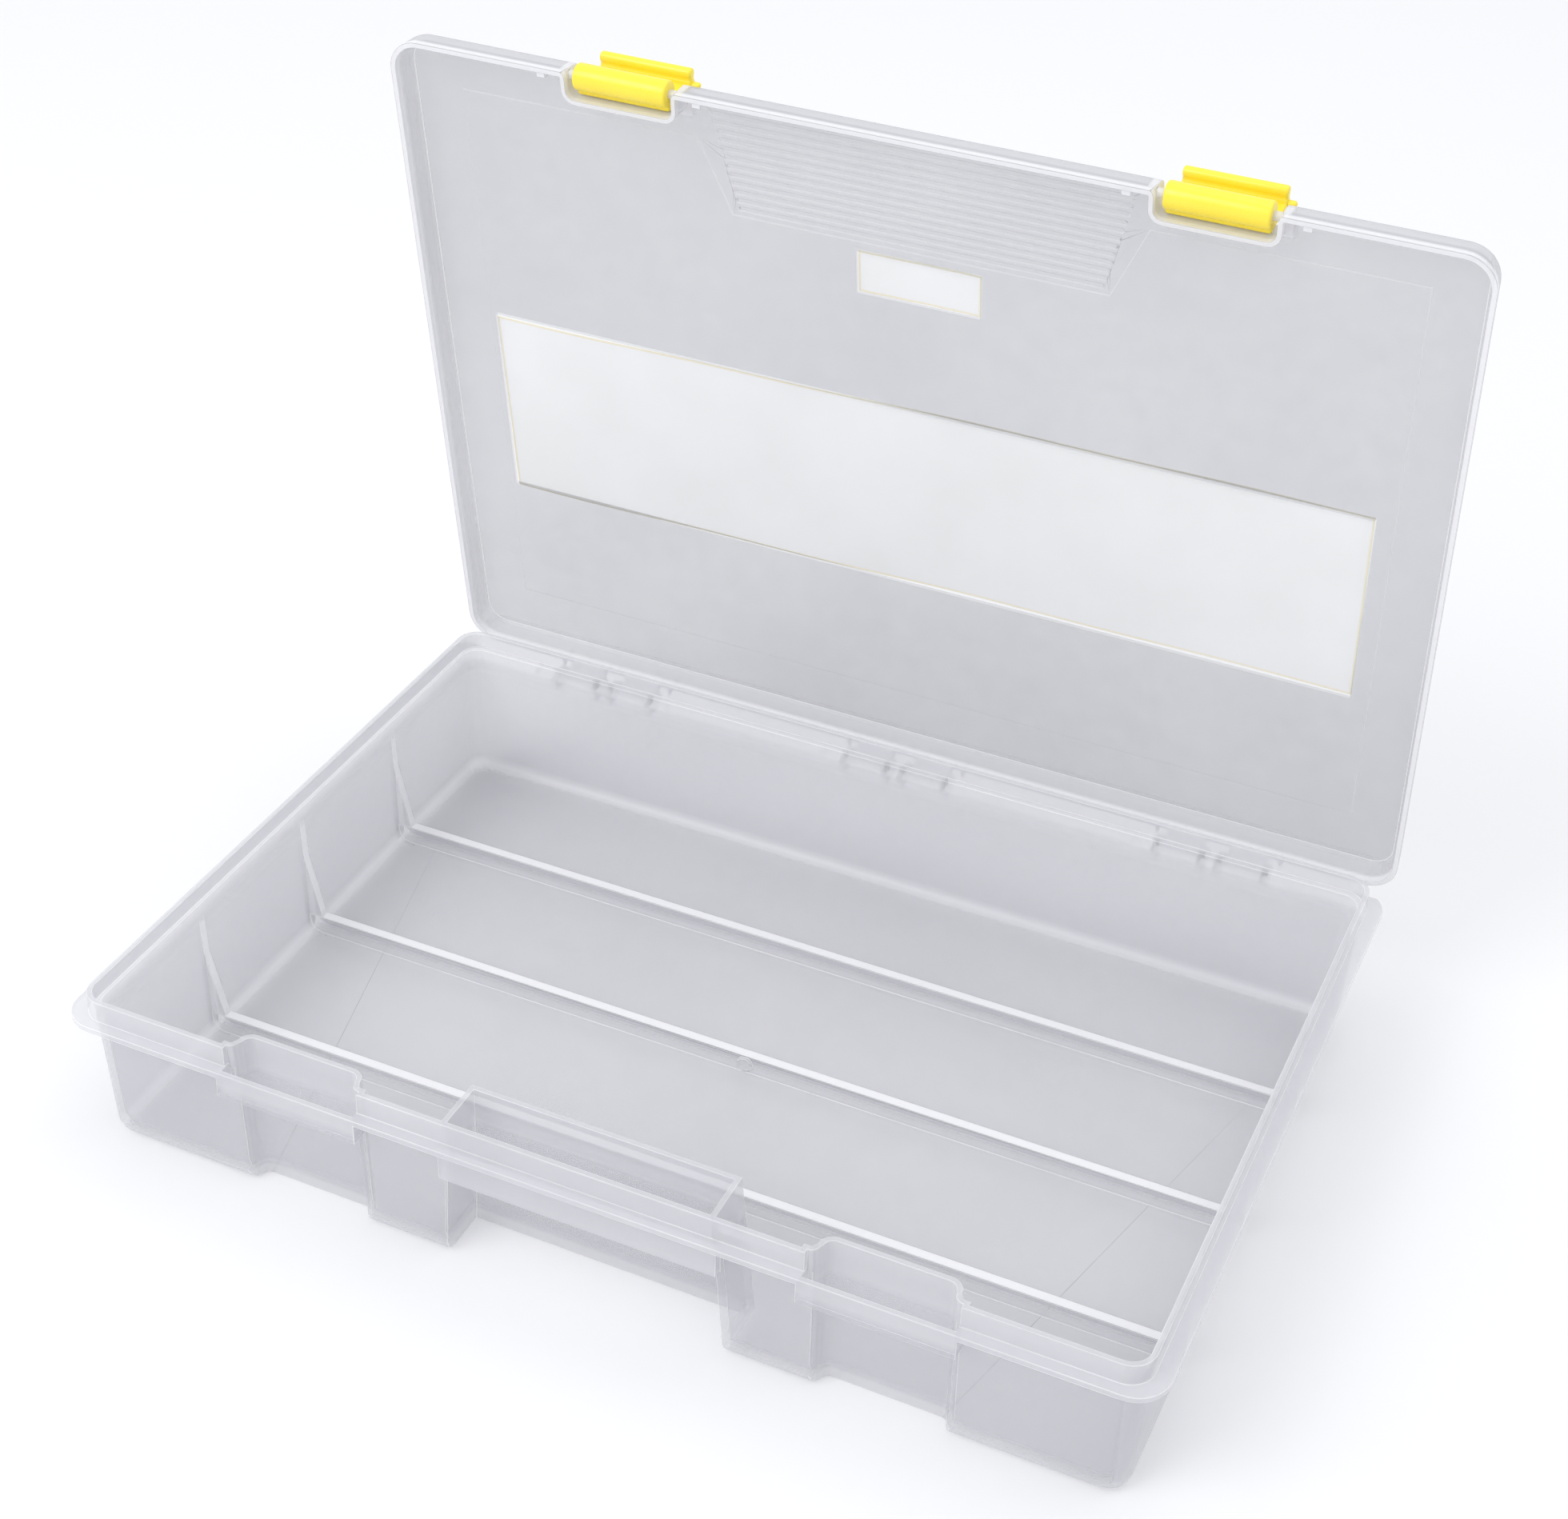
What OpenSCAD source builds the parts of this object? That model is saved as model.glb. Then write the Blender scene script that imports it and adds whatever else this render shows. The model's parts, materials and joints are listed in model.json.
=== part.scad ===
// Four-lane fishing tackle box with a one-piece lid, two snap latches
// and three pinned hinge stations. Millimetres, +Z up, -Y is the front.
// The origin is the centre of the underside of the base tray.

/* [Box] */
// Outer width of the lid and of the ledge it closes on
box_w = 360; // [330:1:390]
// Outer depth of the lid
box_d = 250; // [235:1:265]
// Height of the base tray to the top of its collar
base_h = 58; // [56:0.5:64]
// Height of the ledge that the lid rests on
ledge_z = 50.7; // [49:0.1:51]
// Wall thickness of the base tray
wall_t = 1.8; // [1.6:0.1:2]
// Thickness of the floor
floor_t = 2; // [1.6:0.1:2.4]
// Corner radius of the ledge and the lid
corner_r = 11; // [9:0.5:14]

/* [Ledge and walls] */
// Thickness of the ledge
ledge_t = 2; // [1.6:0.1:2.4]
// Ledge width beside the collar, on the two short sides
ledge_side = 5.2; // [4.4:0.1:5.6]
// Ledge width in front of the collar
ledge_front = 3.9; // [3.6:0.1:4.2]
// How far the walls stand inside the lid's outline under the ledge
wall_inset_top = 6.3; // [6:0.1:6.6]
// How far the walls stand inside the lid's outline at the floor
wall_inset_foot = 7.9; // [7:0.1:9]
// Outside radius along the bottom edge
foot_r = 4.8; // [3:0.1:6]

/* [Lanes] */
// Distance between the centres of neighbouring ridges
lane_pitch = 60; // [56:0.5:62]
// Height of the ridges between the lanes
ridge_h = 8.3; // [6:0.1:14]
// Thickness of a ridge at its top
ridge_t = 3.6; // [2.4:0.1:4]
// Height at which a ridge's end web dies into the wall
web_top = 36.5; // [28:0.5:44]
// Length of an end web along the ridge
web_foot = 5.8; // [4:0.1:10]

/* [Front] */
// Distance of the two latches from the middle
latch_x = 97; // [92:0.5:100]
// Width of a latch recess at its back wall
recess_back = 40; // [39.6:0.2:42]
// Half width of the finger recess behind the handle bar
grip_half = 43; // [38:0.5:46]
// Height of the handle bar's lower edge
grip_bar_z = 35.7; // [32:0.1:40]
// Height of the catch's lower edge, where the latch hooks on
catch_z = 41.6; // [41.5:0.05:41.7]

/* [Lid] */
// Height of the lid above its rim
lid_h = 10.3; // [9.8:0.1:11]
// Wall thickness of the lid
lid_t = 1.6; // [1.4:0.1:1.8]
// Opening angle at which the lid is drawn
lid_open = 81.4; // [60:0.1:110]
// Depth of the label panel in the lid's top
panel_sink = 0.4; // [0.2:0.05:0.5]
// Number of bars in the lid's ribbed grip
grip_bars = 12; // [8:1:12]

/* [Hinge and latch] */
// Distance of the outer hinge stations from the middle
hinge_x = 118; // [110:0.5:124]
// Diameter of the hinge pins
pin_d = 2.2; // [2:0.1:2.4]
// Outer diameter of the latch sleeve
sleeve_d = 8.6; // [8:0.1:8.6]
// Length of a latch along its sleeve
latch_w = 32.3; // [28:0.1:33]
// Angle between the latch hanging closed and the latch swung open
latch_open = 180; // [150:1:180]

/* [Hidden] */
$fn = 48;
HULL_FN = 32;
EPS = 0.02;
// How far an added feature is rooted in the wall behind it
root = 0.3;
PLASTIC = [0.86, 0.87, 0.89];
YELLOW = [1.0, 0.83, 0.05];
PAPER = [0.97, 0.97, 0.95];

// Outline and levels
front_y = -box_d / 2;
collar_y = front_y + ledge_front;
rear_ledge_cut = 3;
step_z = ledge_z + 1.8;
collar_r = corner_r - 3;
wall_r = corner_r - 4;
inner_foot_r = 5;
run_gap = 0.08;
seat_gap = 0.3;

// Recesses in the front wall
recess_lean = 2.4;
recess_y = front_y + 12.4;
recess_level = 50;
recess_side = 0.5;
catch_lap = 1;
mouth_r = 3;
mouth_bite = 0.5;
recess_r = 3;
grip_top_y = front_y + 21.5;
grip_foot_y = front_y + 25.5;
grip_flare = 4;
catch_t = 1.8;
cheek_t = 1.2;
cut_reach = 8;
grip_lap = 2.5;
grip_cheek_t = 2;
grip_cheek_l = 5;

// Ridges
ridge_flare = 0.5;
boss_r = 2.7;
boss_drop = 3;
boss_t = 1.2;

// Hinge
hinge_y = box_d / 2 + 1.5;
hinge_z = ledge_z - 5.7;
lug_r = 3.2;
lug_t = 2.2;
lug_offsets = [-19.5, -3, 3, 19.5];
barrel_r = 2.6;
barrel_mid = 11.25;
barrel_l = 13.6;
station_half = 27.4;
block_drop = 1.5;
station_root = wall_inset_top + 1;
lug_shy = 0.4;
arm_rear_y = hinge_y + 1.4;
arm_front_y = hinge_y - 1.6;
arm_h = 6;
skirt_y = box_d / 2 - 1.4;
fin_x = 22.3;
fin_t = 1.2;
fin_h = 8;
fin_out = 2.7;

// Lid, in its closed place
rim_z = ledge_z + seat_gap;
lid_top_z = rim_z + lid_h;
lid_draft = 0.9;
lid_edge_r = 2.4;
lid_inner_r = 1.2;
panel_half_w = 160;
panel_front_y = -105.5;
panel_rear_y = 104;
notch_y = -80;
notch_front_half = 75;
notch_rear_half = 63.7;
bar_pitch = 2.95;
bar_w = 1.6;
bar_rise = 0.5;
bar_first_y = -82.5;
bar_half = 61.7;
bar_growth = 0.75;
snap_x = [69.8, 124.3];
snap_w = 3;
snap_d = 2.1;
snap_z = 0.4;
snap_h = 4;

// Latch, in its closed place
sleeve_y = front_y + 2.7;
sleeve_z = rim_z + 4.4;
latch_bar_r = 1.5;
pocket_half = 18.6;
pocket_y = front_y + 9.2;
pocket_r = 3;
plate_out = 6;
plate_t = 1.6;
bead_r = 1.8;
bead_drop = 16.2;
bead_out = [1.2, 4.4];
web_t = 2;
shoulder_up = 1;
shoulder_down = 3;
nub_r = 1;
nub_l = 2.7;

// Stickers on the label panel
label_at = [-1.6, 16];
label_size = [311, 72.5];
label_turn = -0.4;
grip_label_at = [1, -69.6];
grip_label_size = [41.8, 15];
sticker_t = 0.25;
sticker_r = 2;

// Rounded rectangle made of squares and circles, so that it stays exact
module outline(w, d, r) {
    square([w - 2 * r, d], center = true);
    square([w, d - 2 * r], center = true);
    for (x = [-1, 1], y = [-1, 1])
        translate([x * (w / 2 - r), y * (d / 2 - r)])
            circle(r);
}

// A thin rounded slice at a height, for hulls
module slice(w, d, r, z) {
    translate([0, 0, z])
        linear_extrude(EPS)
            outline(w, d, r, $fn = HULL_FN);
}

// Rounded, drafted block: inset from the box outline at foot and top,
// with a round along its bottom edge
module drafted_block(inset_foot, inset_top, z0, z1, edge_r, r) {
    hull() {
        for (a = [0 : 30 : 90])
            slice(box_w - 2 * (inset_foot + edge_r * (1 - sin(a))),
                box_d - 2 * (inset_foot + edge_r * (1 - sin(a))),
                r, z0 + edge_r * (1 - cos(a)));
        slice(box_w - 2 * inset_top, box_d - 2 * inset_top, r, z1 - EPS);
    }
}

// Straight rounded block between two heights
module straight_block(w, d, r, z0, z1) {
    translate([0, 0, z0])
        linear_extrude(z1 - z0)
            outline(w, d, r);
}

// Prism along X with a profile in Y and Z
module along_x(x0, x1, profile) {
    translate([x0, 0, 0])
        rotate([90, 0, 90])
            linear_extrude(x1 - x0)
                polygon(profile);
}

// Prism along Y with a profile in X and Z
module along_y(y0, y1, profile) {
    translate([0, y1, 0])
        rotate([90, 0, 0])
            linear_extrude(y1 - y0)
                polygon(profile);
}

// Horizontal cylinder along X
module rod(x0, x1, y, z, r) {
    translate([x0, y, z])
        rotate([0, 90, 0])
            cylinder(h = x1 - x0, r = r);
}

// Points along an arc
function arc(x, y, r, from, to) =
    [for (i = [0 : 6]) [x + r * cos(from + (to - from) * i / 6), y + r * sin(from + (to - from) * i / 6)]];

// Space of a latch recess, grown by a wall thickness for its island. Its
// mouth is rounded into the front wall, and it leans with the wall.
module latch_recess(grow, z0, z1) {
    wall_y = front_y + wall_inset_top - mouth_bite;
    mouth = recess_back / 2 + recess_side + mouth_r;
    back = recess_back / 2;
    right = concat(
        [[mouth + grow, front_y - cut_reach], [mouth + grow, wall_y + grow]],
        arc(mouth, wall_y + mouth_r, mouth_r - grow, 265, 180),
        arc(back - recess_r, recess_y - recess_r, recess_r + grow, 0, 90));
    left = [for (i = [len(right) - 1 : -1 : 0]) [-right[i][0], right[i][1]]];
    translate([0, recess_y, recess_level])
        rotate([recess_lean, 0, 0])
            translate([0, -recess_y, z0 - recess_level])
                linear_extrude(z1 - z0)
                    polygon(concat(right, left));
}

// Space of the finger recess behind the handle bar
module grip_recess(grow, z0, z1) {
    intersection() {
        along_y(front_y - cut_reach, grip_foot_y + grow, [
            [-grip_half - grip_flare - grow, z0],
            [grip_half + grip_flare + grow, z0],
            [grip_half + grow, z1], [-grip_half - grow, z1]]);
        along_x(-box_w / 4, box_w / 4, [
            [front_y - cut_reach, z0], [grip_foot_y + grow, z0],
            [grip_foot_y + grow, foot_r], [grip_top_y + grow, z1],
            [front_y - cut_reach, z1]]);
    }
}

// Solid outside of the base tray, before it is hollowed
module tray_outside() {
    drafted_block(wall_inset_foot, wall_inset_top, 0, ledge_z - EPS, foot_r, wall_r);
    straight_block(box_w - 2 * ledge_side, box_d - 2 * ledge_front,
        collar_r, ledge_z - ledge_t, base_h);
    difference() {
        straight_block(box_w, box_d, corner_r, ledge_z - ledge_t, ledge_z);
        translate([-box_w / 2 - 1, box_d / 2 - rear_ledge_cut, 0])
            cube([box_w + 2, rear_ledge_cut + 1, base_h]);
    }
}

// Hollow of the base tray, with islands left around the recesses
module tray_hollow() {
    difference() {
        union() {
            drafted_block(wall_inset_foot + wall_t, wall_inset_top + wall_t,
                floor_t, step_z, inner_foot_r, wall_r - 1);
            straight_block(box_w - 2 * (ledge_side + wall_t),
                box_d - 2 * (ledge_front + wall_t),
                collar_r - wall_t, step_z - EPS, base_h + 1);
        }
        for (s = [-1, 1])
            translate([s * latch_x, 0, 0])
                latch_recess(wall_t, -2, base_h + 3);
        grip_recess(wall_t, -1, base_h + 2);
    }
}

// Ridge between two lanes, with a tapered web at each end
module lane_ridge(y) {
    end_x = box_w / 2 - wall_inset_foot - wall_t / 2;
    wall_x = box_w / 2 - wall_inset_top - wall_t;
    translate([0, y, 0])
        along_x(-end_x, end_x, [
            [-ridge_t / 2 - ridge_flare, floor_t / 2],
            [ridge_t / 2 + ridge_flare, floor_t / 2],
            [ridge_t / 2, ridge_h], [-ridge_t / 2, ridge_h]]);
    for (s = [-1, 1])
        along_y(y - ridge_t / 2 + root, y + ridge_t / 2 - root, [
            [s * (end_x - web_foot), floor_t / 2],
            [s * (end_x - web_foot), ridge_h],
            [s * wall_x, web_top],
            [s * (wall_x + wall_t / 2), web_top],
            [s * end_x, floor_t / 2]]);
}

// Catch across the mouth of a latch recess, flush with the ledge
module catch_bar() {
    half = recess_back / 2 + recess_side + mouth_r + catch_lap;
    translate([-half, front_y, catch_z])
        cube([2 * half, catch_t, ledge_z - catch_z]);
    for (s = [-1, 1])
        translate([s * (half - cheek_t / 2) - cheek_t / 2, front_y, catch_z])
            cube([cheek_t, wall_inset_top + 2 * root, ledge_z - catch_z]);
}

// Handle bar in front of the finger recess
module grip_bar() {
    half = grip_half + grip_lap;
    translate([-half, collar_y, grip_bar_z])
        cube([2 * half, wall_t, base_h - grip_bar_z]);
    for (s = [-1, 1])
        translate([s * (half - grip_cheek_t / 4) - grip_cheek_t / 2, collar_y, grip_bar_z])
            cube([grip_cheek_t, grip_cheek_l, ledge_z - grip_bar_z]);
}

// Lug that holds a hinge pin, under the ledge at the back
module hinge_lug(x) {
    root_y = box_d / 2 - station_root;
    difference() {
        union() {
            rod(x - lug_t / 2, x + lug_t / 2, hinge_y, hinge_z, lug_r);
            along_x(x - lug_t / 2, x + lug_t / 2, [
                [root_y, ledge_z - ledge_t], [root_y, hinge_z - lug_r],
                [hinge_y, hinge_z - lug_r], [hinge_y, hinge_z + lug_r - lug_shy],
                [box_d / 2 - rear_ledge_cut, ledge_z - lug_shy]]);
        }
        rod(x - lug_t, x + lug_t, hinge_y, hinge_z, pin_d / 2);
    }
}

// One hinge station of the base: a thicker stretch of ledge and four lugs
module base_station(x) {
    translate([x - station_half, box_d / 2 - station_root, ledge_z - ledge_t - block_drop])
        cube([2 * station_half, station_root - rear_ledge_cut, block_drop + ledge_t / 2]);
    for (o = lug_offsets)
        hinge_lug(x + o);
}

// Base tray, one moulding
module base_tray() {
    color(PLASTIC) {
        difference() {
            tray_outside();
            tray_hollow();
            for (s = [-1, 1])
                translate([s * latch_x, 0, 0])
                    latch_recess(0, -2, base_h + 3);
            // behind the bar the finger recess is open right through
            intersection() {
                grip_recess(0, -1, base_h + 2);
                translate([-box_w / 4, collar_y + wall_t, -1])
                    cube([box_w / 2, box_d / 4, base_h + 4]);
            }
            // below the bar it is open to the front as well
            intersection() {
                grip_recess(0, -1, base_h + 2);
                translate([-box_w / 4, front_y - cut_reach, -1])
                    cube([box_w / 2, box_d / 4, grip_bar_z + 1]);
            }
        }
        for (i = [-1 : 1])
            lane_ridge(i * lane_pitch);
        // small round boss in the middle of the middle ridge
        translate([0, -ridge_t / 2, ridge_h - boss_drop])
            rotate([90, 0, 0])
                cylinder(h = boss_t, r = boss_r);
        for (s = [-1, 1])
            translate([s * latch_x, 0, 0])
                catch_bar();
        grip_bar();
        for (x = [-hinge_x, 0, hinge_x])
            base_station(x);
    }
}

// Turns closed lid parts about the hinge to the open pose
module open_lid() {
    translate([0, hinge_y, hinge_z])
        rotate([-lid_open, 0, 0])
            translate([0, -hinge_y, -hinge_z])
                children();
}

// Plan of a latch pocket, grown by a wall thickness for its wall
module pocket(grow) {
    mouth = pocket_half + mouth_r;
    face = front_y - mouth_bite;
    right = concat(
        [[mouth + grow, front_y - 2], [mouth + grow, face + grow]],
        arc(mouth, face + mouth_r, mouth_r - grow, 265, 180),
        arc(pocket_half - pocket_r, pocket_y - pocket_r, pocket_r + grow, 0, 90));
    left = [for (i = [len(right) - 1 : -1 : 0]) [-right[i][0], right[i][1]]];
    polygon(concat(right, left));
}

// Outline of the label panel with its notch for the grip
module panel_outline() {
    polygon([
        [-panel_half_w, panel_rear_y], [-panel_half_w, panel_front_y],
        [-notch_front_half, panel_front_y], [-notch_rear_half, notch_y],
        [notch_rear_half, notch_y], [notch_front_half, panel_front_y],
        [panel_half_w, panel_front_y], [panel_half_w, panel_rear_y]]);
}

// Shell of the lid with its two latch pockets cut through the front edge
module lid_shell() {
    difference() {
        hull() {
            slice(box_w, box_d, corner_r, rim_z);
            for (a = [0 : 30 : 90])
                slice(box_w - 2 * (lid_draft + lid_edge_r * (1 - sin(a))),
                    box_d - 2 * (lid_draft + lid_edge_r * (1 - sin(a))),
                    corner_r - lid_draft, lid_top_z - EPS - lid_edge_r * (1 - cos(a)));
        }
        difference() {
            hull() {
                slice(box_w - 2 * lid_t, box_d - 2 * lid_t, corner_r - lid_t, rim_z - 1);
                slice(box_w - 2 * (lid_t + lid_draft), box_d - 2 * (lid_t + lid_draft),
                    corner_r - lid_t - lid_draft, lid_top_z - lid_t - lid_inner_r);
                slice(box_w - 2 * (lid_t + lid_draft + lid_inner_r),
                    box_d - 2 * (lid_t + lid_draft + lid_inner_r),
                    corner_r - lid_t - lid_draft - lid_inner_r, lid_top_z - lid_t - EPS);
            }
            for (s = [-1, 1])
                translate([s * latch_x, 0, rim_z])
                    linear_extrude(lid_h)
                        pocket(lid_t);
        }
        for (s = [-1, 1])
            translate([s * latch_x, 0, rim_z - 1])
                linear_extrude(lid_h + 2)
                    pocket(0);
        translate([0, 0, lid_top_z - panel_sink])
            linear_extrude(1)
                panel_outline();
    }
}

// Ribbed grip between the latch pockets, shorter towards the panel
module lid_grip() {
    for (i = [0 : grip_bars - 1]) {
        y = bar_first_y - i * bar_pitch;
        half = bar_half + i * bar_growth;
        translate([0, y, lid_top_z - root])
            linear_extrude(bar_rise + root)
                outline(2 * half, bar_w, bar_w / 2 - EPS);
    }
}

// Barrels, arms and fins of one hinge station on the lid
module lid_station(x) {
    for (s = [-1, 1]) {
        mid = x + s * barrel_mid;
        difference() {
            union() {
                rod(mid - barrel_l / 2, mid + barrel_l / 2, hinge_y, hinge_z, barrel_r);
                along_x(mid - barrel_l / 2, mid + barrel_l / 2, [
                    [arm_front_y, hinge_z], [arm_rear_y, hinge_z],
                    [arm_rear_y, rim_z], [skirt_y + lid_draft, rim_z + arm_h],
                    [skirt_y, rim_z + arm_h], [arm_front_y - lid_draft, rim_z]]);
            }
            rod(mid - barrel_l, mid + barrel_l, hinge_y, hinge_z, pin_d / 2 + run_gap);
        }
        along_x(x + s * fin_x - fin_t / 2, x + s * fin_x + fin_t / 2, [
            [skirt_y, rim_z], [box_d / 2 + fin_out, rim_z],
            [skirt_y + lid_draft, rim_z + fin_h], [skirt_y, rim_z + fin_h]]);
    }
}

// Lid, one moulding, drawn closed and then opened
module lid() {
    end = pocket_half + lid_t / 2;
    color(PLASTIC)
        open_lid() {
            lid_shell();
            lid_grip();
            for (x = [-hinge_x, 0, hinge_x])
                lid_station(x);
            for (s = [-1, 1]) {
                rod(s * latch_x - end, s * latch_x + end, sleeve_y, sleeve_z, latch_bar_r);
                for (x = snap_x)
                    translate([s * x - snap_w / 2, front_y + lid_t - root, rim_z + snap_z])
                        cube([snap_w, snap_d, snap_h]);
            }
        }
}

// Latch: a sleeve, a plate in front of it and a hook of two beads
module latch(x) {
    x0 = x - latch_w / 2;
    x1 = x + latch_w / 2;
    plate_y = sleeve_y - plate_out;
    color(YELLOW)
        open_lid()
            translate([0, sleeve_y, sleeve_z])
                rotate([-latch_open, 0, 0])
                    translate([0, -sleeve_y, -sleeve_z])
                        difference() {
                            union() {
                                rod(x0, x1, sleeve_y, sleeve_z, sleeve_d / 2);
                                translate([x0, plate_y, sleeve_z - shoulder_down])
                                    cube([latch_w, plate_out, shoulder_up + shoulder_down]);
                                translate([x0, plate_y, sleeve_z - bead_drop - web_t / 2])
                                    cube([latch_w, plate_t, bead_drop + web_t / 2]);
                                translate([x0, plate_y, sleeve_z - bead_drop - web_t / 2])
                                    cube([latch_w, plate_out - bead_out[0], web_t]);
                                for (out = bead_out)
                                    rod(x0, x1, sleeve_y - out, sleeve_z - bead_drop, bead_r);
                                rod(x1 - 1, x1 + nub_l, plate_y + nub_r,
                                    sleeve_z - bead_drop, nub_r);
                            }
                            rod(x0 - 1, x1 + 1, sleeve_y, sleeve_z, latch_bar_r + run_gap);
                        }
}

// Pin of one hinge station
module hinge_pin(x) {
    color(PLASTIC)
        rod(x + lug_offsets[0] - lug_t / 2, x + lug_offsets[3] + lug_t / 2,
            hinge_y, hinge_z, pin_d / 2);
}

// Sticker of a given size on the label panel
module sticker(at, size, turn) {
    color(PAPER)
        open_lid()
            translate([at[0], at[1], lid_top_z - panel_sink])
                rotate([0, 0, turn])
                    linear_extrude(sticker_t)
                        outline(size[0], size[1], sticker_r);
}

base_tray();
lid();
latch(-latch_x);  // latch_left
latch(latch_x);  // latch_right
hinge_pin(-hinge_x);  // hinge_pin_left
hinge_pin(0);  // hinge_pin_centre
hinge_pin(hinge_x);  // hinge_pin_right
sticker(label_at, label_size, label_turn);  // lid_label
sticker(grip_label_at, grip_label_size, 0);  // grip_label
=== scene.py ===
import json
import math
import bpy
import bmesh
from mathutils import Matrix, Vector


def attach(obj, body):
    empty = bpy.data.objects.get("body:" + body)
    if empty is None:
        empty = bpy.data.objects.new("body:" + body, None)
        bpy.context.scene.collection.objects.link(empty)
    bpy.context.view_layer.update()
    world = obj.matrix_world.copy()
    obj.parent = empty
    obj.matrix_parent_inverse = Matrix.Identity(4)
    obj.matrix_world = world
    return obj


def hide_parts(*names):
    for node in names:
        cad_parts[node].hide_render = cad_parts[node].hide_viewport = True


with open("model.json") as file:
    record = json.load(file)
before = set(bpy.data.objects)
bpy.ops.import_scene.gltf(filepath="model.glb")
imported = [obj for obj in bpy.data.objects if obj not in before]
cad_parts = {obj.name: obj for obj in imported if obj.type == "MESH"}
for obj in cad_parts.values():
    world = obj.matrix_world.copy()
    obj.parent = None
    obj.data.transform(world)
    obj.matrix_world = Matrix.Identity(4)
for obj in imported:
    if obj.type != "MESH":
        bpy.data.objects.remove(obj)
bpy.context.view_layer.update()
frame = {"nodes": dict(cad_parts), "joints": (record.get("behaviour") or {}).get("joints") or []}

# Lengths are in millimetres unless a name or a comment says otherwise.
MM = 0.001
scene = bpy.context.scene

# ------------------------------------------------------------------- camera

CAMERA_AZIMUTH, CAMERA_ELEVATION, CAMERA_ROLL = 23.36, 34.88, 2.115  # degrees
CAMERA_PLACE = (276.0, -617.57, 599.79)
CAMERA_LENS, CAMERA_SENSOR = 61.44, 36.0


def place_camera():
    """Camera that looks down at the open box from its front right."""
    azimuth, elevation, roll = (math.radians(a) for a in (CAMERA_AZIMUTH, CAMERA_ELEVATION, CAMERA_ROLL))
    ahead = Vector((-math.sin(azimuth) * math.cos(elevation),
                    math.cos(azimuth) * math.cos(elevation),
                    -math.sin(elevation)))
    level = ahead.cross(Vector((0, 0, 1))).normalized()
    upright = level.cross(ahead)
    right = math.cos(roll) * level + math.sin(roll) * upright
    up = -math.sin(roll) * level + math.cos(roll) * upright
    matrix = Matrix((right, up, -ahead)).transposed().to_4x4()
    matrix.translation = Vector(CAMERA_PLACE) * MM
    data = bpy.data.cameras.new("camera")
    data.sensor_fit = "HORIZONTAL"
    data.sensor_width = CAMERA_SENSOR
    data.lens = CAMERA_LENS
    data.clip_start, data.clip_end = 0.01, 20
    camera = bpy.data.objects.new("camera", data)
    scene.collection.objects.link(camera)
    camera.matrix_world = matrix
    scene.camera = camera


place_camera()

# ----------------------------------------------- measures and places of parts

JOINTS = {joint["name"]: joint for joint in frame["joints"]}
HINGE = JOINTS["lid_hinge"]
HINGE_PLACE = Vector(HINGE["pos_m"])
LID_OPEN = math.radians(HINGE["range_deg"][1])
FAR = 1000.0

# Tray
RIDGES = (-60.0, 0.0, 60.0)
RIDGE_HALF = 1.9
WEB_HALF = 1.45
RIDGE_TOP = (7.1, 9.0)
RIM = (46.3, 70.0)
REAR_WALL = (108.0, 121.5)
SIDE_WALL = (169.0, 174.5)
GRIP_HALF = 45.5
GRIP_BAR_Z = 35.5
FRONT_FACE_Y = -118.8

# Hinge stations, measured from the middle of the station
STATION_X = 118.0
STATION_HALF = 27.4
LUGS = ((1.6, 4.4), (18.1, 20.9))
LEDGE_BLOCK = (46.5, 51.2)

# Lid, in its closed place
PANEL_Z = 60.9
SKIRT = (49.5, 52.8)
POCKET_X = (76.0, 118.0)
POCKET_BACK_Y = -113.8
LID_FRONT_Y, LID_REAR_Y = -122.2, 121.5

# Labels: centre x, centre y, width, depth on the closed lid
LABELS = {"lid_label": (-1.6, 16.0, 311.0, 72.5), "grip_label": (1.0, -69.6, 41.8, 15.0)}
LABEL_TURN = {"lid_label": -0.4, "grip_label": 0.0}
LABEL_RIM = 0.7
LABEL_T = 0.25
LABEL_LIFT = 0.005

# Latch section, measured from its pivot
SLEEVE_R = 4.3
PLATE_OUT, PLATE_T = 6.0, 1.6
BEAD_R, BEAD_DROP = 1.8, 16.2
BEAD_NEAR, BEAD_FAR = 1.2, 4.4
BEAD_HALF_GAP = 1.0
SHOULDER_R, FILLET_R = 0.9, 0.8
LATCH_W, LATCH_END_R = 32.3, 0.8
NUB_R, NUB_L, NUB_STRETCH = 1.0, 2.7, 1.3


def open_offset(x, y, z):
    """Offset in metres of the closed lid, turned with the lid to its open place."""
    c, s = math.cos(LID_OPEN), math.sin(LID_OPEN)
    return Vector((x, y * c + z * s, -y * s + z * c)) * MM


def lid_point(x, y, z):
    """Point of the closed lid where it is with the lid open."""
    hinge_y, hinge_z = HINGE_PLACE.y / MM, HINGE_PLACE.z / MM
    return Vector((0, HINGE_PLACE.y, HINGE_PLACE.z)) + open_offset(x, y - hinge_y, z - hinge_z)


# ---------------------------------------------------------------- materials


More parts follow.
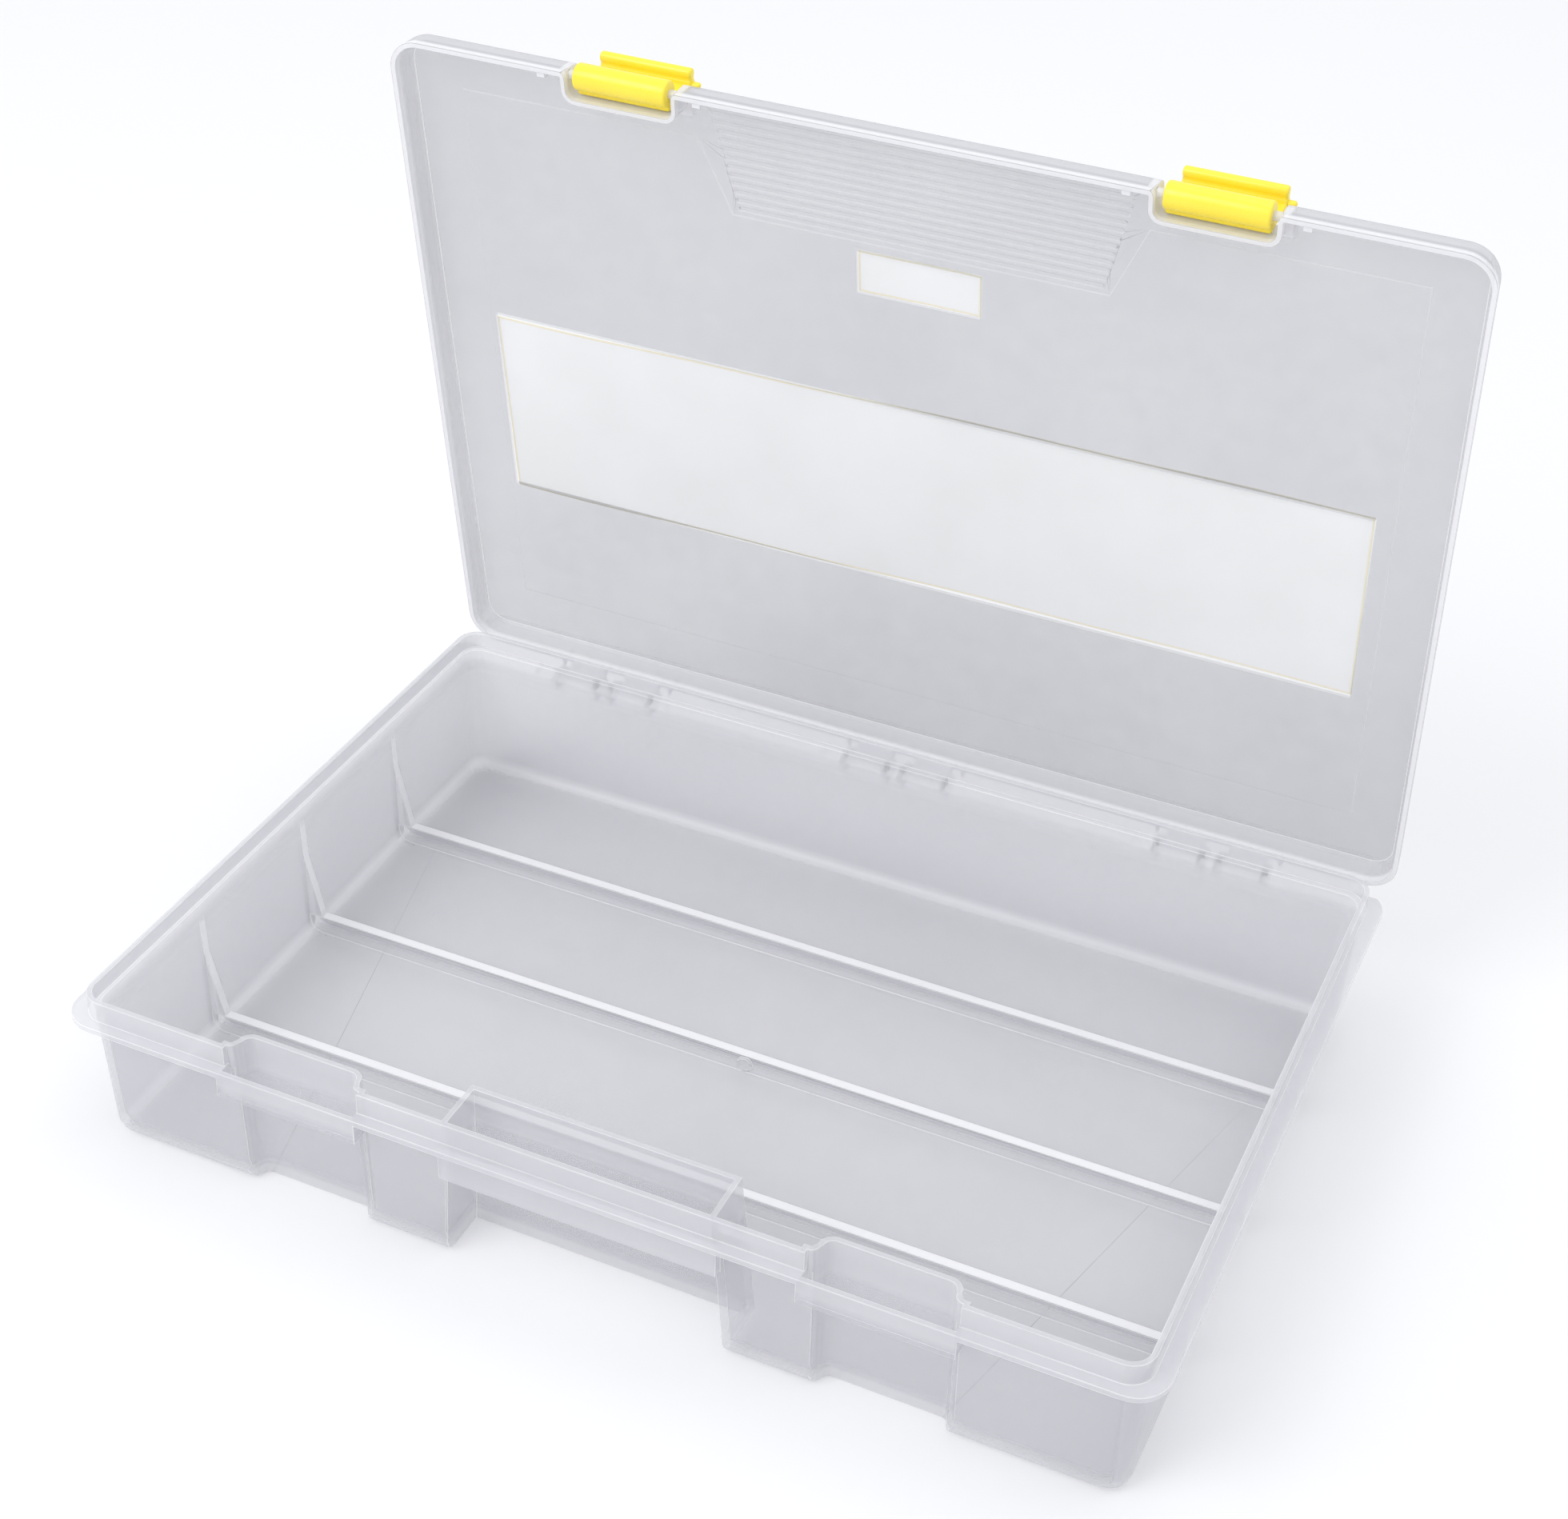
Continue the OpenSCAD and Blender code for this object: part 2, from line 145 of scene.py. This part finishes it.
class Nodes:
    """Small helper to wire shader nodes."""

    def __init__(self, name):
        self.mat = bpy.data.materials.new(name)
        self.mat.use_nodes = True
        self.tree = self.mat.node_tree
        self.tree.nodes.clear()

    def add(self, kind, **values):
        node = self.tree.nodes.new("ShaderNode" + kind)
        for key, value in values.items():
            if key in node.inputs:
                node.inputs[key].default_value = value
            else:
                setattr(node, key, value)
        return node

    def link(self, a, b):
        self.tree.links.new(a, b)

    def math(self, operation, a, b=None, clamp=False):
        node = self.add("Math", operation=operation, use_clamp=clamp)
        for i, value in enumerate((a, b)):
            if value is None:
                continue
            if hasattr(value, "default_value"):
                self.link(value, node.inputs[i])
            else:
                node.inputs[i].default_value = value
        return node.outputs[0]

    def times(self, first, *others):
        """Product of several values."""
        result = first
        for value in others:
            result = self.math("MULTIPLY", result, value)
        return result

    def most(self, first, *others):
        """Largest of several values."""
        result = first
        for value in others:
            result = self.math("MAXIMUM", result, value)
        return result

    def ramp(self, value, low, high, out_low=0.0, out_high=1.0):
        node = self.add("MapRange", clamp=True)
        self.link(value, node.inputs[0])
        for i, limit in enumerate((low, high, out_low, out_high)):
            node.inputs[i + 1].default_value = limit
        return node.outputs[0]

    def band(self, value, limits, soft):
        """1 between the limits, falling to 0 over a soft edge."""
        rise = self.ramp(value, limits[0] - soft, limits[0])
        fall = self.ramp(value, limits[1], limits[1] + soft, 1.0, 0.0)
        return self.math("MULTIPLY", rise, fall)

    def noise(self, coord, scale, detail=3.0, rough=0.5):
        node = self.add("TexNoise", Scale=scale, Detail=detail, Roughness=rough)
        self.link(coord, node.inputs["Vector"])
        return node.outputs["Fac"]

    def mix(self, factor, a, b):
        node = self.add("Mix", data_type="RGBA")
        self.link(factor, node.inputs[0])
        node.inputs[6].default_value = (*a, 1)
        node.inputs[7].default_value = (*b, 1)
        return node.outputs[2]

    def object_coord(self):
        return self.add("TexCoord").outputs["Object"]

    def bump(self, height, strength, distance, shader):
        node = self.add("Bump", Strength=strength, Distance=distance * MM)
        self.link(height, node.inputs["Height"])
        self.link(node.outputs[0], shader.inputs["Normal"])

    def finish(self, shader):
        out = self.add("OutputMaterial")
        self.link(shader.outputs[0], out.inputs[0])
        return self.mat


def split_xyz(g, vector):
    node = g.add("SeparateXYZ")
    g.link(vector, node.inputs[0])
    return node.outputs


def split_mm(g, vector):
    """The three coordinates of a vector in metres, in millimetres."""
    scaled = g.add("VectorMath", operation="SCALE")
    g.link(vector, scaled.inputs[0])
    scaled.inputs["Scale"].default_value = 1 / MM
    return split_xyz(g, scaled.outputs[0])


def closed_coord(g):
    """Object coordinates turned back to the closed lid."""
    turn = g.add("VectorRotate", rotation_type="X_AXIS")
    turn.inputs["Center"].default_value = HINGE_PLACE
    turn.inputs["Angle"].default_value = LID_OPEN
    g.link(g.object_coord(), turn.inputs["Vector"])
    return turn.outputs[0]


def ridge_bands(g, y, half, soft):
    """1 within a half width of any of the three ridges."""
    return g.most(*[g.band(y, (ridge - half, ridge + half), soft) for ridge in RIDGES])


def tray_masks(g):
    """Places of the tray painted white as a painted glow of the light gathered in its rims, ridge tops,
    webs, lugs, ledge blocks, grip bar and foot fillet, and its deep places.
    """
    x, y, z = split_mm(g, g.object_coord())
    normal = split_xyz(g, g.add("NewGeometry").outputs["Normal"])
    side = g.math("ABSOLUTE", x)
    rim = g.band(z, RIM, 4.0)
    ridges = g.times(g.band(z, RIDGE_TOP, 0.6), g.ramp(normal[2], 0.5, 0.8),
                     ridge_bands(g, y, RIDGE_HALF, 0.4))
    webs = g.times(g.band(side, (166.0, 171.5), 2.2), g.band(z, (3.0, 45.0), 4.0),
                   ridge_bands(g, y, WEB_HALF, 0.1))
    handle = g.times(g.band(y, (-FAR, FRONT_FACE_Y), 1.5), g.ramp(z, GRIP_BAR_Z - 5.5, GRIP_BAR_Z),
                     g.ramp(side, GRIP_HALF + 2, GRIP_HALF))
    foot = g.times(g.band(z, (-FAR, 3.5), 3.0),
                   g.ramp(g.math("ABSOLUTE", normal[2]), 0.97, 0.90))
    rear = g.times(g.band(y, (122.5, FAR), 1.0), g.ramp(z, 36.0, 40.0))
    to_outer_station = g.math("ABSOLUTE", g.math("SUBTRACT", side, STATION_X))
    from_station = g.math("MINIMUM", side, to_outer_station)
    lugs = g.times(g.most(*[g.band(from_station, lug, 0.2) for lug in LUGS]),
                   g.band(y, (123.5, FAR), 0.5), g.band(z, (30.0, 48.7), 0.5))
    blocks = g.times(g.band(from_station, (-FAR, STATION_HALF), 0.2),
                     g.band(y, (118.3, FAR), 0.5), g.band(z, LEDGE_BLOCK, 0.5))
    # Painted glow: these places are painted white and more opaque, standing in for the light gathered in
    # rims, ridge tops, webs, grip and foot fillet, and for the shade on lugs and blocks.
    painted_glow = g.most(g.times(rim, 0.30), ridges, webs, g.times(lugs, 0.4), blocks,
                   g.times(handle, 0.25), g.times(foot, 0.25), g.times(rear, 0.6))
    walls = g.most(g.band(y, REAR_WALL, 2.0), g.band(side, SIDE_WALL, 1.5))
    deep = g.times(walls, g.band(z, (4.0, 46.0), 2.0))
    return {"painted_glow": painted_glow, "deep": deep}


def lid_masks(g):
    """Places of the lid painted white as a painted glow, and the clear ones under the labels' adhesive
    and in the hinge barrels, which are made clearer to lift the shade that falls on them."""
    x, y, z = split_mm(g, closed_coord(g))
    side = g.math("ABSOLUTE", x)
    rear = g.band(y, (LID_REAR_Y, FAR), 1.0)
    barrels = g.times(rear, g.band(z, (0.0, SKIRT[0]), 1.0))
    pockets = g.times(g.band(side, POCKET_X, 1.5), g.band(y, (-FAR, POCKET_BACK_Y), 1.0))
    # Painted glow: skirt, sides, hinge barrels, front, rear and latch pockets are painted white and more
    # opaque; the barrels are whitened to lift the shade on them.
    painted_glow = g.most(g.times(g.band(z, SKIRT, 2.0), 0.9), g.times(g.ramp(side, 176.5, 178.5), 0.18),
                   barrels, g.times(g.band(y, (-FAR, LID_FRONT_Y), 1.0), 0.30),
                   g.times(rear, 0.25), g.times(pockets, 0.75))
    # The hinge barrels are made clearer as well: a painted lightening that lifts the shade falling on
    # them.
    clear = g.times(barrels, 0.6)
    for label_x, label_y, width, depth in LABELS.values():
        under = g.times(g.band(x, (label_x - width / 2, label_x + width / 2), 0.3),
                        g.band(y, (label_y - depth / 2, label_y + depth / 2), 0.3))
        clear = g.most(clear, under)
    return {"painted_glow": painted_glow, "clear": clear}


def plastic(name, color, glow_color, opacity, masks):
    """Frosted see-through polypropylene, painted whiter and more opaque in its painted glow places, with
    deep and clear places.
    """
    g = Nodes(name)
    coord = g.object_coord()
    places = masks(g)
    cloud = g.noise(coord, 14, 3)
    streak = g.noise(coord, 120, 4, 0.6)
    grain = g.noise(coord, 1400, 3, 0.7)
    haze = g.math("ADD", g.times(cloud, 0.7), g.times(streak, 0.3))
    alpha = g.ramp(haze, 0.35, 0.65, opacity * 0.93, opacity * 1.07)
    # The painted glow places are made more opaque.
    alpha = g.math("ADD", alpha, g.times(places["painted_glow"], 0.45))
    if "deep" in places:
        alpha = g.math("ADD", alpha, g.times(places["deep"], 0.16))
    facing = g.add("LayerWeight", Blend=0.30).outputs["Facing"]
    alpha = g.math("ADD", alpha, g.times(g.math("POWER", facing, 3.0), 0.34))
    if "clear" in places:
        alpha = g.times(alpha, g.ramp(places["clear"], 0, 1, 1.0, 0.12))
    shader = g.add("BsdfPrincipled", IOR=1.45)
    # Base colour painted towards the white glow colour in the painted glow places.
    g.link(g.mix(places["painted_glow"], color, glow_color), shader.inputs["Base Color"])
    g.link(g.ramp(grain, 0.3, 0.7, 0.27, 0.39), shader.inputs["Roughness"])
    g.link(g.math("MINIMUM", alpha, 1.0), shader.inputs["Alpha"])
    g.bump(grain, 0.03, 0.15, shader)
    return g.finish(shader)


def edge_plastic(name, color, scuffed, opacity):
    """The rounded edges, painted near-white and more opaque as a painted glow of the light they gather.
    """
    g = Nodes(name)
    coord = g.object_coord()
    cloud = g.noise(coord, 45, 3)
    wear = g.noise(coord, 420, 4, 0.7)
    shader = g.add("BsdfPrincipled", IOR=1.45)
    g.link(g.mix(g.ramp(wear, 0.62, 0.74), color, scuffed), shader.inputs["Base Color"])
    g.link(g.ramp(cloud, 0.3, 0.7, opacity - 0.08, opacity + 0.08), shader.inputs["Alpha"])
    g.link(g.ramp(wear, 0.3, 0.7, 0.24, 0.40), shader.inputs["Roughness"])
    return g.finish(shader)


def gloss_plastic(name, color, dark):
    """Glossy injection-moulded plastic with a faint orange peel."""
    g = Nodes(name)
    coord = g.object_coord()
    peel = g.noise(coord, 500, 2)
    cloud = g.noise(coord, 60, 3)
    shader = g.add("BsdfPrincipled", IOR=1.49)
    g.link(g.mix(g.ramp(cloud, 0.35, 0.65), color, dark), shader.inputs["Base Color"])
    g.link(g.ramp(peel, 0.3, 0.7, 0.22, 0.34), shader.inputs["Roughness"])
    g.bump(peel, 0.03, 0.2, shader)
    return g.finish(shader)


def film(name, color, tint):
    """Satin film sticker."""
    g = Nodes(name)
    coord = g.object_coord()
    fibre = g.noise(coord, 700, 4, 0.7)
    cloud = g.noise(coord, 25, 3)
    shader = g.add("BsdfPrincipled", IOR=1.45)
    g.link(g.mix(g.ramp(cloud, 0.35, 0.7), color, tint), shader.inputs["Base Color"])
    g.link(g.ramp(fibre, 0.3, 0.7, 0.42, 0.58), shader.inputs["Roughness"])
    g.bump(fibre, 0.12, 0.1, shader)
    return g.finish(shader)


# The third colour of each plastic is the white colour of its painted glow.
TRAY = plastic("tray_plastic", (0.66, 0.66, 0.70), (0.95, 0.95, 0.97), 0.27, tray_masks)
LID = plastic("lid_plastic", (0.42, 0.425, 0.46), (0.93, 0.93, 0.95), 0.33, lid_masks)
# Painted edge glow: near-white material for the rounded edges and the hinge pins.
EDGE_GLOW = edge_plastic("edge_glow", (0.90, 0.90, 0.92), (0.95, 0.95, 0.97), 0.48)
YELLOW = gloss_plastic("latch_yellow", (1.0, 0.82, 0.07), (1.0, 0.79, 0.06))
PAPER = film("label_film", (0.97, 0.97, 0.97), (0.93, 0.93, 0.92))
PAPER_RIM = film("label_rim", (0.96, 0.90, 0.72), (0.93, 0.86, 0.66))

# ------------------------------------------------------- tray, lid and pins

SHARP = math.radians(40)
TRAY_EDGE_R, LID_EDGE_R = 0.24, 0.18


def dress(node, *materials):
    """Gives a CAD solid its materials; its faces take the first one."""
    obj = frame["nodes"][node]
    obj.data.materials.clear()
    for material in materials:
        obj.data.materials.append(material)
    for face in obj.data.polygons:
        face.use_smooth = True
        face.material_index = 0
    return obj


def soften(obj, width):
    """Rounds the sharp edges of a CAD solid and gives the rounded faces the second material, a painted
    edge glow.
    """
    weld = obj.modifiers.new("weld", "WELD")
    weld.merge_threshold = 2e-6
    bevel = obj.modifiers.new("round", "BEVEL")
    bevel.width = width * MM
    bevel.segments = 2
    bevel.limit_method = "ANGLE"
    bevel.angle_limit = SHARP
    bevel.use_clamp_overlap = False
    bevel.material = 1
    bevel.face_strength_mode = "FSTR_ALL"
    normals = obj.modifiers.new("normals", "WEIGHTED_NORMAL")
    normals.mode = "FACE_AREA"
    normals.use_face_influence = True


soften(dress("base_tray", TRAY, EDGE_GLOW), TRAY_EDGE_R)
soften(dress("lid", LID, EDGE_GLOW), LID_EDGE_R)
for place in ("left", "centre", "right"):
    # The hinge pins take the painted edge glow material, painted near-white to lift the shade on them.
    pin = dress("hinge_pin_" + place, EDGE_GLOW)
    pin.data.set_sharp_from_angle(angle=SHARP)

# ------------------------------------------------------------------ latches


def new_object(name, verts, faces, materials, body):
    """Mesh object that rides on a body and takes a material slot."""
    mesh = bpy.data.meshes.new(name)
    mesh.from_pydata(verts, [], faces)
    mesh.validate()
    obj = bpy.data.objects.new(name, mesh)
    scene.collection.objects.link(obj)
    for material in materials:
        mesh.materials.append(material)
    for face in mesh.polygons:
        face.use_smooth = True
    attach(obj, body)
    return obj


def arc(cx, cy, r, start, end, steps):
    """Points along an arc; the angles are in degrees."""
    angles = [math.radians(start + (end - start) * i / steps) for i in range(steps + 1)]
    return [(cx + r * math.cos(a), cy + r * math.sin(a)) for a in angles]


def latch_profile():
    """Section of a latch as (inward, down) from its pivot."""
    plate_in = -PLATE_OUT + PLATE_T
    notch = 0.75 * (90 - math.degrees(math.asin(BEAD_HALF_GAP / BEAD_R)))
    points = arc(0, 0, SLEEVE_R, 136, -166.5, 40)
    points += arc(-PLATE_OUT + SHOULDER_R, -0.1, SHOULDER_R, -90, -180, 5)
    points += [(-PLATE_OUT, down) for down in (3.0, 6.0, 9.0, 12.0, 14.6)]
    points += arc(-BEAD_FAR, BEAD_DROP, BEAD_R, 205, 90 - notch, 12)
    points += arc(-BEAD_NEAR, BEAD_DROP, BEAD_R, 90 + notch, -90 - notch, 20)
    points += arc(-BEAD_FAR, BEAD_DROP, BEAD_R, -90 + notch, -88, 6)
    points += [(plate_in, down) for down in (13.6, 11.0, 8.0, 5.0)]
    points += arc(plate_in + FILLET_R, 3.9, FILLET_R, 180, 250, 4)
    return points


def inset(points, distance):
    """Moves a closed outline inwards along its vertex normals."""
    count = len(points)
    following = points[1:] + points[:1]
    area = sum(a[0] * b[1] - b[0] * a[1] for a, b in zip(points, following))
    sign = 1 if area > 0 else -1
    moved = []
    for i, point in enumerate(points):
        along = (Vector(points[(i + 1) % count]) - Vector(points[i - 1])).normalized()
        moved.append(tuple(Vector(point) + distance * sign * Vector((-along.y, along.x))))
    return moved


def ring_faces(rings, count, start=0):
    """Quads between neighbouring rings of vertices."""
    return [(start + k * count + i, start + k * count + (i + 1) % count,
             start + (k + 1) * count + (i + 1) % count, start + (k + 1) * count + i)
            for k in range(rings - 1) for i in range(count)]


def latch_sections(steps=5):
    """Stations along a latch: x, and how far the section is drawn in there."""
    half = LATCH_W / 2
    turns = [math.pi / 2 * i / steps for i in range(steps, -1, -1)]
    ends = [(-half + LATCH_END_R * (1 - math.sin(a)), LATCH_END_R * (1 - math.cos(a))) for a in turns]
    middle = [(-half * 0.5, 0.0), (0.0, 0.0), (half * 0.5, 0.0)]
    return ends + middle + [(-x, drawn_in) for x, drawn_in in reversed(ends)]


def nub_stations(steps=5):
    """Stations along the nub at a latch's right end: x and radius."""
    half = LATCH_W / 2
    turns = [math.pi / 2 * i / steps for i in range(steps)]
    tip = [(half + NUB_L - NUB_R + NUB_R * math.sin(a), NUB_R * math.cos(a)) for a in turns]
    return [(half - 1.2, NUB_R)] + tip


def latch(side):
    """Latch in the pose where it stands back over the open lid's edge."""
    pivot = Vector(JOINTS["latch_%s_swing" % side]["pos_m"])
    profile = latch_profile()
    count = len(profile)
    verts = []
    sections = latch_sections()
    for x, drawn_in in sections:
        outline = inset(profile, drawn_in) if drawn_in > 0.001 else profile
        verts += [pivot + open_offset(x, -inward, down) for inward, down in outline]
    faces = ring_faces(len(sections), count)
    faces.append(tuple(range(count - 1, -1, -1)))
    faces.append(tuple((len(sections) - 1) * count + i for i in range(count)))

    base, around = len(verts), 14
    stations = nub_stations()
    for x, r in stations:
        for i in range(around):
            a = 2 * math.pi * i / around
            inward = -PLATE_OUT + NUB_R + r * math.cos(a)
            down = BEAD_DROP + NUB_STRETCH * r * math.sin(a)
            verts.append(pivot + open_offset(x, -inward, down))
    faces += ring_faces(len(stations), around, base)
    faces.append(tuple(base + (len(stations) - 1) * around + i for i in range(around)))

    obj = new_object("latch_%s_body" % side, verts, faces, [YELLOW], "latch_" + side)
    bm = bmesh.new()
    bm.from_mesh(obj.data)
    bmesh.ops.recalc_face_normals(bm, faces=bm.faces)
    bm.to_mesh(obj.data)
    bm.free()
    obj.data.set_sharp_from_angle(angle=math.radians(50))
    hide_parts("latch_" + side)


latch("left")
latch("right")

# ------------------------------------------------------------------- labels


def label(node, wave):
    """Film sticker with a slightly uneven edge and a thin tinted rim."""
    centre_x, centre_y, width, depth = LABELS[node]
    turn = math.radians(LABEL_TURN[node])
    rim_u, rim_v = LABEL_RIM / width, LABEL_RIM / depth
    inner = 96
    columns = [0.0] + [rim_u + (1 - 2 * rim_u) * i / inner for i in range(inner + 1)] + [1.0]
    rows = [0.0, rim_v, 0.25, 0.5, 0.75, 1 - rim_v, 1.0]
    across, down = len(columns), len(rows)
    layer = across * down
    verts, faces, tags = [], [], []
    for level in (PANEL_Z + LABEL_LIFT, PANEL_Z + LABEL_T):
        for v in rows:
            for u in columns:
                uneven = wave * (math.sin(2.1 * math.pi * u + 0.6) + 0.45 * math.sin(6.3 * math.pi * u))
                x = (u - 0.5) * width
                y = (v - 0.5) * depth + uneven * (0.9 + 0.1 * v)
                verts.append(lid_point(centre_x + x * math.cos(turn) - y * math.sin(turn),
                                       centre_y + x * math.sin(turn) + y * math.cos(turn), level))
    for level in (0, 1):
        for j in range(down - 1):
            for i in range(across - 1):
                a = level * layer + j * across + i
                quad = (a, a + 1, a + across + 1, a + across)
                faces.append(quad if level else quad[::-1])
                tags.append(1 if i in (0, across - 2) or j in (0, down - 2) else 0)
    border = list(range(across))
    border += [j * across + across - 1 for j in range(1, down)]
    border += [(down - 1) * across + i for i in range(across - 2, -1, -1)]
    border += [j * across for j in range(down - 2, 0, -1)]
    for a, b in zip(border, border[1:] + border[:1]):
        faces.append((a, b, b + layer, a + layer))
        tags.append(1)
    obj = new_object(node + "_film", verts, faces, [PAPER, PAPER_RIM], "lid")
    for face, tag in zip(obj.data.polygons, tags):
        face.material_index = tag
        face.use_smooth = False
    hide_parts(node)


label("lid_label", 0.55)
label("grip_label", 0.1)

# -------------------------------------------------------------------- stage


def stage():
    """Plain pale floor just under the tray."""
    mesh = bpy.data.meshes.new("floor")
    bm = bmesh.new()
    bmesh.ops.create_grid(bm, x_segments=1, y_segments=1, size=6)
    bm.to_mesh(mesh)
    bm.free()
    floor = bpy.data.objects.new("floor", mesh)
    scene.collection.objects.link(floor)
    floor.location.z = -0.2 * MM
    g = Nodes("floor_white")
    shader = g.add("BsdfPrincipled", Roughness=0.85)
    shader.inputs["Base Color"].default_value = (0.86, 0.86, 0.87, 1)
    mesh.materials.append(g.finish(shader))


def area_light(name, place, target, size, power):
    """Square area light aimed at a target; lengths in metres."""
    data = bpy.data.lights.new(name, "AREA")
    data.shape = "RECTANGLE"
    data.size, data.size_y = size, size
    data.energy = power
    lamp = bpy.data.objects.new(name, data)
    scene.collection.objects.link(lamp)
    lamp.location = place
    lamp.rotation_euler = (Vector(target) - Vector(place)).to_track_quat("-Z", "Y").to_euler()


def sky():
    """Even, nearly white surroundings."""
    world = bpy.data.worlds.new("studio")
    scene.world = world
    world.use_nodes = True
    background = world.node_tree.nodes["Background"]
    background.inputs["Color"].default_value = (0.97, 0.98, 1.0, 1)
    background.inputs["Strength"].default_value = 0.88


stage()
area_light("key", (-1.2, -1.8, 2.2), (0, 0, 0.1), 1.6, 30)
area_light("top", (0.6, 0.6, 2.6), (0, 0, 0), 2.2, 14)
sky()
scene.view_settings.view_transform = "Standard"
